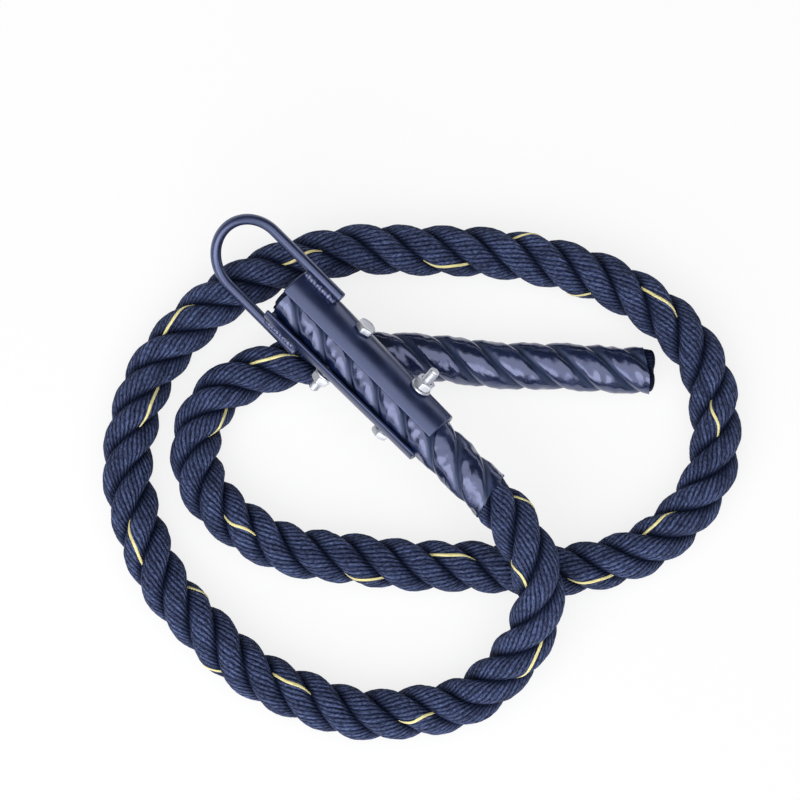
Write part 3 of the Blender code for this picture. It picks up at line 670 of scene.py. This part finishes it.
def strand_grid(strand, sizes):
    """Points of one strand's surface, the yarn and distance of each column and row, and how much painted
    shade each gets.

    The strand's middle winds round the rope's line. Its section is an ellipse round that middle. A column
    follows one thread of a yarn, which winds the other way inside the strand, and the radius rises over
    each yarn by a rounded half sine wave, more on some yarns and stretches than on others. The ridges are
    lower under the sleeves and fade out before each end, which is a dome.
    """
    columns = sizes.yarns * COLUMNS_PER_YARN
    yarn = np.arange(columns) / COLUMNS_PER_YARN
    rise = np.linspace(0.0, math.pi / 2, 7)[1:-1]
    rows = np.concatenate([0 * rise, ALONG, 0 * rise + LENGTH])
    full = np.concatenate([np.sin(rise), np.ones(len(ALONG)), np.sin(rise[::-1])])
    past = np.concatenate(
        [-HANGER_END_DOME * np.cos(rise), np.zeros(len(ALONG)), TAIL_END_DOME * np.cos(rise[::-1])]
    )
    distance, thread = np.meshgrid(rows, yarn, indexing="ij")
    scale = bare_scale(distance, sizes)
    centre = scale * LAY_CENTRE_SHARE
    relief = sizes.yarn_relief
    dice = np.random.default_rng(40 + strand)
    whole = thread.astype(int)
    fuller = 1 + YARN_UNEVEN * dice.uniform(-1, 1, sizes.yarns)[whole]
    swell = 1 + YARN_UNEVEN * ripple(whole * 2.39, distance, 7, 60 + strand, 8, 45)
    to_end = np.minimum(distance, LENGTH - distance)
    fade = np.clip(to_end / (2 * SLEEVE_SETBACK) - 1, 0.0, 1.0)
    drawn_in = (1 - SLEEVED_YARN_LOSS * sleeved_share(distance)) * fade
    ridge = relief * fuller * swell * drawn_in * np.abs(np.sin(math.pi * thread)) ** YARN_ROUNDING
    radius = (scale - centre - relief * YARN_SINK_SHARE + ridge) * full[:, None]
    angle = yarn_angle(thread / sizes.yarns, YARN_RATE * along_rope(COUNT, distance))
    radial = centre + radius * np.cos(angle)
    across = radius * STRAND_WIDTH_SHARE * np.sin(angle)
    points = rope_point(distance, strand_turn(distance, strand), radial, across)
    points += unit(along_rope(TANGENT, distance)) * past[:, None, None]
    # mask of the painted shade: 1 deep in the groove between two strands and near each cut end
    hollow = np.clip((GROOVE_EDGE - np.cos(angle)) / (GROOVE_EDGE - GROOVE_FLOOR), 0.0, 1.0)
    hollow = np.maximum(hollow, (to_end < 2 * SLEEVE_SETBACK) * 1.0)
    return pressed(points), (np.arange(columns + 1) / COLUMNS_PER_YARN, rows), hollow


def tracer_grid(sizes):
    """Points of the tracer yarn: a flat oval wound over the ridges of its strand, deeper under the film."""
    rows = np.arange(TRACER_INSET, LENGTH - TRACER_INSET, TRACER_STEP)
    oval = np.linspace(0.0, math.tau, 10, endpoint=False)
    distance, around = np.meshgrid(rows, oval, indexing="ij")
    scale = bare_scale(distance, sizes)
    centre = scale * LAY_CENTRE_SHARE
    lift = TRACER_HALF_HEIGHT * np.sin(around) - TRACER_SINK * sleeved_share(distance)
    radius = scale - centre - sizes.yarn_relief * TRACER_SINK_SHARE + lift
    angle = yarn_angle(0.0, along_rope(TRACER_TURN, distance))
    angle += sizes.tracer_width / 2 / (scale - centre) * np.cos(around)
    radial = centre + radius * np.cos(angle)
    across = radius * STRAND_WIDTH_SHARE * np.sin(angle)
    points = rope_point(distance, strand_turn(distance, TRACER_STRAND), radial, across)
    return pressed(points), (np.linspace(0.0, 1.0, 11), rows)


def groove_share(distance, angle):
    """How far a place round the rope lies from a strand's crest: 0 on the crest and 1 in the groove."""
    turns = (angle - strand_turn(distance, 0)) / (math.tau / STRANDS)
    return 2 * np.abs((turns + 0.5) % 1.0 - 0.5)


def film_radius(distance, angle, sizes, valley, seed):
    """Radius of the film round the rope.

    It falls from each strand's crest to the groove by a power of the angle between them, so that each
    face is nearly flat and each groove is a valley. Long soft folds, shorter dents and sharper creases lie
    over the faces.
    """
    crest = sizes.sleeved_diameter / 2 + CLEARANCE + sizes.film_wall
    away = groove_share(distance, angle)
    folds = ripple(angle, distance, 9, seed, 8, 60)
    dents = ripple(angle * 2, distance, 12, seed + 3, 40, 130)
    creases = 1 - np.abs(ripple(angle, distance, 6, seed + 1, 15, 70)) ** 0.6
    wrinkle = 0.8 * folds + 0.45 * dents + 0.8 * creases - 0.9
    return crest - valley * away**VALLEY_POWER + sizes.film_wrinkle * wrinkle * (1 - away**2)


def film_edge(at, slant, ragged, times, waves, seed):
    """How the distance of a film's edge along the rope changes with the angle: by a slant and a ripple."""
    return lambda turn: at + slant * np.sin(turn) + ragged * ripple(turn * times, 0, waves, seed, 0, 1)


def film_grid(first, last, sizes, valley, seed):
    """Points of a film sleeve as a ring of rows, and how near each lies to the groove between two strands.

    The rows run out along its outside, over the mouth and back inside. The columns wind with the strands,
    so that each groove follows one column. First and last give the distance of its two edges by angle.
    """
    column = np.linspace(0.0, math.tau, FILM_COLUMNS, endpoint=False)
    start = first(column + strand_turn(first(column), 0))
    end = last(column + strand_turn(last(column), 0))
    outside = np.linspace(0.0, 1.0, FILM_ROWS)
    inside = np.linspace(1.0, 0.0, FILM_ROWS // 6)
    depth = np.concatenate([np.zeros(len(outside)), np.ones(len(inside))])
    share, around = np.meshgrid(np.concatenate([outside, inside]), column, indexing="ij")
    distance = start + share * (end - start)
    turn = around + strand_turn(distance, 0)
    outer = film_radius(distance, turn, sizes, valley, seed)
    edge = np.minimum(share, 1 - share) * (end - start)
    radius = outer - sizes.film_wall * depth[:, None] + FILM_LIP * np.exp(-((edge / (4 * FILM_LIP)) ** 2))
    hollow = np.clip((groove_share(distance, turn) - FILM_HOLLOW_FROM) / FILM_HOLLOW_OVER, 0.0, 1.0)
    return pressed(rope_point(distance, turn, radius, np.zeros_like(radius))), hollow


AXES = np.array([
    (1.0, 0.0, 0.0),
    (0.0, math.cos(HANGER_ROLL), math.sin(HANGER_ROLL)),
    (0.0, -math.sin(HANGER_ROLL), math.cos(HANGER_ROLL)),
])


def on_hanger(points):
    """Points of the hanger's own frame, in the whole object's frame."""
    return np.array(HANGER_PLACE) + points @ AXES


def shell_radius(along):
    """Outer radius of a clamp half at a distance from its top end."""
    return SHELL_TOP_RADIUS - SHELL_FLARE * along / SHELL_LENGTH


def bolt_seat(along):
    """Where a head or a washer sits, as in the part's source."""
    taper = WASHER_RADIUS * SHELL_FLARE / SHELL_LENGTH
    return SHELL_SPREAD + shell_radius(along) + taper + CLEARANCE


def clamp_half_grid(side):
    """Points of one clamp half: a bent strip's outline carried along the rope.

    The outline runs along the outer arc, round one long edge, back along the inner arc and round the
    other. Near each end the wall thins by a quarter circle, so that the cut edge is rounded too. A press
    mark under each bolt's seat flattens the plate a little.
    """
    arc_steps = 61
    turn = np.linspace(-SHELL_HALF_ARC, SHELL_HALF_ARC, arc_steps)
    half = SHELL_WALL / 2
    end = np.linspace(-math.pi / 2, math.pi / 2, 9)[1:-1]
    rounding = half * (1 - np.cos(np.linspace(0, math.pi / 2, 7)))
    plain = np.linspace(SHELL_END_ZONE, SHELL_LENGTH - SHELL_END_ZONE, 76)
    x = np.concatenate([rounding, plain, SHELL_LENGTH - rounding[::-1]])
    near = np.minimum(x, SHELL_LENGTH - x)
    thick = np.sqrt(np.clip(1 - (1 - np.clip(near / half, 0, 1)) ** 2, 0.0, 1.0))[:, None]
    middle = (shell_radius(x) - half)[:, None]
    arc = np.concatenate([turn, turn[-1] + 0 * end, turn[::-1], turn[0] + 0 * end])
    out = np.concatenate([np.ones(arc_steps), -np.sin(end), -np.ones(arc_steps), np.sin(end)])
    past = np.concatenate([np.zeros(arc_steps), np.cos(end), np.zeros(arc_steps), -np.cos(end)])
    radius = middle + half * out * thick
    angle = arc + past * SHELL_EDGE / middle * thick
    y = side * (SHELL_SPREAD + radius * np.cos(angle))
    z = radius * np.sin(angle)
    for at in (UPPER_BOLT_AT, LOWER_BOLT_AT):
        far = np.hypot(x[:, None] - at, z)
        y = y - side * PRESS_MARK_DEPTH * np.exp(-((far / PRESS_MARK_RADIUS) ** 2)) * (np.cos(angle) > 0)
    return on_hanger(np.stack([x[:, None] + 0 * y, y, z], axis=-1))


def rod_grid():
    """Points of the hanging loop: a circle carried up one leg, round the crown and down the other.

    Over the last millimetre of each leg the radius falls by a quarter circle.
    """
    end = WELD_LENGTH - ROD_BLUNT * (1 - np.cos(np.linspace(0.0, math.pi / 2, 7)))
    leg = np.concatenate([end, np.linspace(WELD_LENGTH - 2 * ROD_BLUNT, -LOOP_RISE, 26)])
    crown = np.linspace(0.0, math.pi, 81)[1:-1]
    x = np.concatenate([leg, -LOOP_RISE - LOOP_RADIUS * np.sin(crown), leg[::-1]])
    y = np.concatenate([0 * leg + LOOP_RADIUS, LOOP_RADIUS * np.cos(crown), 0 * leg - LOOP_RADIUS])
    near = np.clip((WELD_LENGTH - x) / ROD_BLUNT, 0.0, 1.0)
    radius = ROD_RADIUS * (ROD_TIP_SHARE + (1 - ROD_TIP_SHARE) * np.sqrt(1 - (1 - near) ** 2))
    path = np.stack([x, y, 0 * x], axis=-1)
    side = unit(np.stack([np.gradient(y), -np.gradient(x), 0 * x], axis=-1))[:, None]
    upright = np.array([0.0, 0.0, 1.0])
    around = np.linspace(0.0, math.tau, 40, endpoint=False)[None, :, None]
    outward = side * np.cos(around) + upright * np.sin(around)
    return on_hanger(path[:, None] + radius[:, None, None] * outward)


def weld_grid(side, face, seed):
    """Points of one weld bead: a tube in the groove between a leg and its clamp half.

    Its radius swells with each drop of the weld, and each drop's crest leans back along the run.
    """
    rows = np.linspace(0.0, 1.0, 120)
    around = np.linspace(0.0, math.tau, 28, endpoint=False)
    share, turn = np.meshgrid(rows, around, indexing="ij")
    drops = share * WELD_DROPS + 0.10 * np.cos(turn)
    swell = 1 + 0.13 * np.abs(np.sin(math.pi * drops)) + 0.10 * ripple(turn, share, 6, seed, 2, 9)
    end = np.sqrt(np.clip(1 - (1 - np.clip(np.minimum(rows, 1 - rows) / 0.07, 0, 1)) ** 2, 0.0004, 1.0))
    radius = WELD_RADIUS * swell * end[:, None]
    x = WELD_INSET + (WELD_LENGTH - 2 * WELD_INSET) * rows
    to_leg, to_shell = ROD_RADIUS + WELD_RISE, shell_radius(x) + WELD_RISE
    apart = LOOP_RADIUS - SHELL_SPREAD
    out = (apart**2 + to_shell**2 - to_leg**2) / (2 * apart)
    y = (side * (SHELL_SPREAD + out))[:, None] + radius * np.cos(turn)
    z = (face * np.sqrt(to_shell**2 - out**2))[:, None] + radius * np.sin(turn)
    return on_hanger(np.stack([x[:, None] + 0 * turn, y, z], axis=-1))


def turned_grid(outline, along, side):
    """Points of a turned piece, from its outline: pairs of radii and heights about a bolt's axis.

    A pair gives one row, or as many as its arrays have, and each value may change with the angle.
    """
    turn = np.linspace(0.0, math.tau, SIDES, endpoint=False)[None, :]
    radii = np.concatenate([radius + 0 * turn for radius, height in outline])
    heights = np.concatenate([height + 0 * turn for radius, height in outline])
    x = along + side * radii * np.cos(turn)
    z = radii * np.sin(turn)
    return on_hanger(np.stack([x, side * heights, z], axis=-1))


def hex_radius():
    """Distance of a hexagon's side from its middle at each angle, its corners eased by a small arc."""
    turn = np.linspace(0.0, math.tau, SIDES, endpoint=False)
    beyond = (turn + math.pi / 6) % (math.pi / 3) - math.pi / 6
    flat = HEX_ACROSS_FLATS / 2 / np.cos(beyond)
    return np.minimum(flat, HEX_ACROSS_FLATS / 2 * HEX_CORNER_SHARE)[None, :]


def hex_face(level, way):
    """Outline of a hexagon's chamfered face at a level, from its flat out to the side, downwards or up."""
    hexagon = hex_radius()
    drop = (hexagon - FACE_RADIUS) * CHAMFER_SLOPE
    return [
        (FACE_RADIUS, level), (FACE_RADIUS + FACE_EDGE, level + way * FACE_DROP),
        (hexagon, level + way * drop), (hexagon + HEX_SWELL, level + way * (drop + HEX_EDGE)),
    ]


def thread_cut(heights, start):
    """How deep the thread cuts at each height and angle: a rounded wave that climbs one pitch in a turn."""
    turn = np.linspace(0.0, math.tau, SIDES, endpoint=False)[None, :]
    wave = np.abs((heights / THREAD_PITCH - turn / math.tau) % 1.0 - 0.5) * 2
    fade = np.clip((start - heights) / THREAD_PITCH, 0, 1)
    return THREAD_DEPTH * np.clip(wave * 1.25 - 0.1, 0, 1) * fade


def bolt_grid(along, side):
    """Points of a bolt, one outline round its axis: chamfered hexagon head, plain shank, thread and tip."""
    seat = bolt_seat(along)
    top = seat + HEAD_HEIGHT
    tip = seat - BOLT_LENGTH
    start = tip + THREAD_LENGTH
    heights = np.arange(start + THREAD_MARGIN, tip + THREAD_MARGIN, -THREAD_PITCH / 8)[:, None]
    hexagon = hex_radius()
    outline = [
        (0.02 * FACE_RADIUS, top), (0.6 * FACE_RADIUS, top), *hex_face(top, -1),
        (hexagon + HEX_SWELL, seat + 2 * HEX_EDGE), (hexagon - FOOT_EDGE, seat + HEX_EDGE),
        (HEAD_FOOT, seat + FOOT_HEIGHT), (HEAD_FOOT, seat + FOOT_EDGE), (HEAD_FOOT - FOOT_EDGE, seat),
        (BOLT_RADIUS, seat), (BOLT_RADIUS, start + THREAD_RUNOUT),
        (BOLT_RADIUS - thread_cut(heights, start), heights),
        (BOLT_RADIUS - THREAD_DEPTH - TIP_EDGE, tip + TIP_EDGE), (TIP_EDGE, tip),
    ]
    return turned_grid(outline, along, side)


def nut_grid(along, side):
    """Points of a nut as a ring of rows: over its chamfered outside and back through its plain bore."""
    low = bolt_seat(along) + WASHER_THICKNESS + CLEARANCE
    high = low + NUT_HEIGHT
    bore = BOLT_RADIUS + BORE_GAP
    edge = NUT_BORE_CHAMFER
    outline = [
        (bore + edge, high), *hex_face(high, -1), *hex_face(low, 1)[::-1], (bore + edge, low),
        (bore, low + edge), (bore, high - edge),
    ]
    return turned_grid(outline, along, side)


def washer_grid(along, side):
    """Points of a punched washer as a ring of rows: rounded on the punch's side, sharper on the other."""
    low = bolt_seat(along)
    high = low + WASHER_THICKNESS
    bore = BOLT_RADIUS + BORE_GAP
    round_edge, sharp_edge, rim = WASHER_ROUND_EDGE, WASHER_SHARP_EDGE, WASHER_RADIUS
    outline = [
        (bore, high - 2 * sharp_edge), (bore + 2 * sharp_edge, high), (rim - round_edge, high),
        (rim - 0.3 * round_edge, high - 0.3 * round_edge), (rim, high - round_edge),
        (rim, low + sharp_edge), (rim - sharp_edge, low), (bore + sharp_edge, low), (bore, low + sharp_edge),
    ]
    return turned_grid(outline, along, side)


class ROPE_OT_rope(bpy.types.Operator):
    """Adds the rope's three strands, its tracer yarn and the film sleeves on both its ends"""

    bl_idname = "climbing_rope.add_rope"
    bl_label = "Rope and sleeves"

    def execute(self, context):
        sizes = context.scene.rope_sizes
        for strand in range(STRANDS):
            points, uv, hollow = strand_grid(strand, sizes)
            nodes = ("rope",) if strand == 0 else ()
            name = f"rope_strand_{strand + 1}"
            piece(name, points, "yarn", nodes=nodes, uv=uv, hollow=hollow)
        points, uv = tracer_grid(sizes)
        tracer = piece("tracer_yarn", points, "tracer", uv=uv)
        near = (
            film_edge(SLEEVE_SETBACK, 0.0, 0.8 * FILM_RAGGED, 1, 5, 3),
            film_edge(HANGER_SLEEVE_LENGTH, MOUTH_SLANT, 1.2 * FILM_RAGGED, 3, 6, 4),
        )
        far = (
            film_edge(LENGTH - TAIL_SLEEVE_LENGTH, 0.0, FILM_RAGGED, 2, 5, 5),
            film_edge(LENGTH - SLEEVE_SETBACK, TIP_SLANT, FILM_RAGGED, 1, 5, 6),
        )
        for end, edges, valley, seed in (
            ("hanger_end", near, HANGER_VALLEY_DEPTH, 11), ("tail_end", far, TAIL_VALLEY_DEPTH, 23),
        ):
            points, hollow = film_grid(*edges, sizes, valley, seed)
            nodes = (f"{end}_sleeve",)
            piece(f"{end}_film", points, "film", nodes=nodes, ring=True, hollow=hollow, sharp=55)
        return {"FINISHED"}


class ROPE_OT_hanger(bpy.types.Operator):
    """Adds the hanger's two clamp halves, its loop of round bar and the four weld beads"""

    bl_idname = "climbing_rope.add_hanger"
    bl_label = "Clamp halves and loop"

    def execute(self, context):
        for word, side in (("right", 1), ("left", -1)):
            piece(
                f"{word}_clamp_plate", clamp_half_grid(side), "paint", nodes=(f"{word}_clamp_half",),
                poles=False, sharp=50,
            )
            for label, face in (("front", 1), ("back", -1)):
                bead = f"{word}_leg_weld_{label}"
                piece(f"{bead}_bead", weld_grid(side, face, 30 + 2 * side + face), "weld", nodes=(bead,))
        piece("hanging_loop_bar", rod_grid(), "paint", nodes=("hanging_loop",))
        return {"FINISHED"}


class ROPE_OT_fasteners(bpy.types.Operator):
    """Adds the two hexagon bolts with their washers and nuts"""

    bl_idname = "climbing_rope.add_fasteners"
    bl_label = "Bolts, washers and nuts"

    def execute(self, context):
        for word, along, side in (("upper", UPPER_BOLT_AT, 1), ("lower", LOWER_BOLT_AT, -1)):
            piece(f"{word}_hexagon_bolt", bolt_grid(along, side), "zinc", nodes=(f"{word}_bolt",), sharp=32)
            piece(
                f"{word}_hexagon_nut", nut_grid(along, -side), "zinc", body=f"{word}_nut_on_thread",
                nodes=(f"{word}_nut",), ring=True, sharp=32,
            )
            piece(
                f"{word}_flat_washer", washer_grid(along, -side), "zinc", body=f"{word}_washer_on_bolt",
                nodes=(f"{word}_washer",), ring=True, sharp=50,
            )
        return {"FINISHED"}


class ROPE_OT_stage(bpy.types.Operator):
    """Adds the white floor, the soft lights and the camera at the photograph's angle"""

    bl_idname = "climbing_rope.add_stage"
    bl_label = "Floor, lights and camera"

    def execute(self, context):
        scene = context.scene
        scene.view_settings.view_transform = "Standard"
        self.add_floor(scene)
        self.add_lights(scene)
        self.add_camera(scene)
        return {"FINISHED"}

    def add_floor(self, scene):
        """A wide flat floor. Rays that show the background see it nearly white, with its shadows kept."""
        reach = FLOOR_REACH
        mesh = bpy.data.meshes.new("floor")
        mesh.from_pydata(
            [(-reach, -reach, 0.0), (reach, -reach, 0.0), (reach, reach, 0.0), (-reach, reach, 0.0)],
            [], [(0, 1, 2, 3)],
        )
        material, tree, shader = new_material("Matt white paper")
        fill(shader, Base_Color=tuple(scene.rope_colours.floor), Roughness=0.9, Specular_IOR_Level=0.0)
        rays = node(tree, "LightPath").outputs
        mirrored = node(
            tree, "Math", operation="MAXIMUM", i0=rays["Is Glossy Ray"], i1=rays["Is Transmission Ray"]
        )
        seen = node(tree, "Math", operation="MAXIMUM", i0=rays["Is Camera Ray"], i1=mirrored)
        share = node(tree, "Math", operation="MULTIPLY", i0=seen, i1=FLOOR_GLOW_SHARE)
        glow = node(tree, "Emission", Color=(1.0, 1.0, 1.0, 1.0), Strength=1.0)
        mix = node(tree, "MixShader", i0=share, i1=shader, i2=glow)
        fill(tree.nodes["Material Output"], Surface=mix)
        mesh.materials.append(material)
        floor = placed("floor", mesh)

    def add_lights(self, scene):
        """One very wide soft light high on the camera's side, in a dim room with a white backdrop."""
        world = bpy.data.worlds.new("Soft studio")
        scene.world = world
        world.use_nodes = True
        tree = world.node_tree
        way = node(tree, "TexCoord").outputs["Generated"]
        facing = node(tree, "VectorMath", operation="DOT_PRODUCT", i0=way, i1=LIGHT_WAY).outputs["Value"]
        glow = node(
            tree, "MapRange", interpolation_type="SMOOTHSTEP", Value=facing, From_Min=math.cos(LIGHT_OUTER),
            From_Max=math.cos(LIGHT_INNER), To_Min=ROOM_GLOW, To_Max=LIGHT_GLOW,
        )
        rise = node(tree, "SeparateXYZ", Vector=way).outputs["Z"]
        backdrop = node(
            tree, "MapRange", interpolation_type="SMOOTHSTEP", Value=rise, From_Min=BACKDROP_TOP,
            From_Max=BACKDROP_TOP + BACKDROP_FADE, To_Min=1.0, To_Max=0.0,
        )
        strength = node(tree, "Math", operation="MAXIMUM", i0=glow, i1=backdrop)
        fill(tree.nodes["Background"], Color=(1.0, 1.0, 1.0, 1.0), Strength=strength)
        data = bpy.data.lights.new("key_lamp", "AREA")
        data.shape = "DISK"
        data.size = LAMP_WIDTH
        data.energy = LAMP_POWER
        lamp = placed("key_lamp", data)
        lamp.location = LAMP_PLACE
        lamp.rotation_euler = Vector(LAMP_PLACE).to_track_quat("Z", "Y").to_euler()
        lamp.visible_camera = False

    def add_camera(self, scene):
        """The photograph's camera: 82 degrees above the floor, in the frame that the photograph has."""
        right = Vector((math.cos(CAMERA_HEADING), math.sin(CAMERA_HEADING), 0.0))
        ahead = Vector((-math.sin(CAMERA_HEADING), math.cos(CAMERA_HEADING), 0.0))
        up = ahead * math.sin(CAMERA_RISE) + Vector((0.0, 0.0, math.cos(CAMERA_RISE)))
        back = -ahead * math.cos(CAMERA_RISE) + Vector((0.0, 0.0, math.sin(CAMERA_RISE)))
        data = bpy.data.cameras.new("camera")
        data.sensor_width = CAMERA_SENSOR
        data.lens = CAMERA_LENS
        data.clip_end = 50.0
        camera = placed("camera", data)
        turn = Matrix((right, up, back)).transposed().to_4x4()
        camera.matrix_world = Matrix.Translation(Vector(CAMERA_PLACE)) @ turn
        scene.camera = camera


class ROPE_PT_panel(bpy.types.Panel):
    """Lists the steps that build the climbing rope"""

    bl_label = "Climbing rope"
    bl_idname = "ROPE_PT_panel"
    bl_space_type = "VIEW_3D"
    bl_region_type = "UI"
    bl_category = "Climbing rope"

    def draw(self, context):
        for step in STEPS:
            self.layout.operator(step.bl_idname)
        for group in (context.scene.rope_sizes, context.scene.rope_colours):
            for name in group.__annotations__:
                self.layout.prop(group, name)


STEPS = (ROPE_OT_rope, ROPE_OT_hanger, ROPE_OT_fasteners, ROPE_OT_stage)
CLASSES = (ROPE_PG_sizes, ROPE_PG_colours, *STEPS, ROPE_PT_panel)


def register():
    """Registers the classes and puts the settings on the scene."""
    for kind in CLASSES:
        bpy.utils.register_class(kind)
    bpy.types.Scene.rope_sizes = PointerProperty(type=ROPE_PG_sizes)
    bpy.types.Scene.rope_colours = PointerProperty(type=ROPE_PG_colours)


def unregister():
    """Takes the settings off the scene and the classes out again."""
    del bpy.types.Scene.rope_colours
    del bpy.types.Scene.rope_sizes
    for kind in reversed(CLASSES):
        bpy.utils.unregister_class(kind)


def main():
    """Builds every piece and the stage."""
    register()
    bpy.ops.climbing_rope.add_rope()
    bpy.ops.climbing_rope.add_hanger()
    bpy.ops.climbing_rope.add_fasteners()
    bpy.ops.climbing_rope.add_stage()


if __name__ == "__main__":
    main()
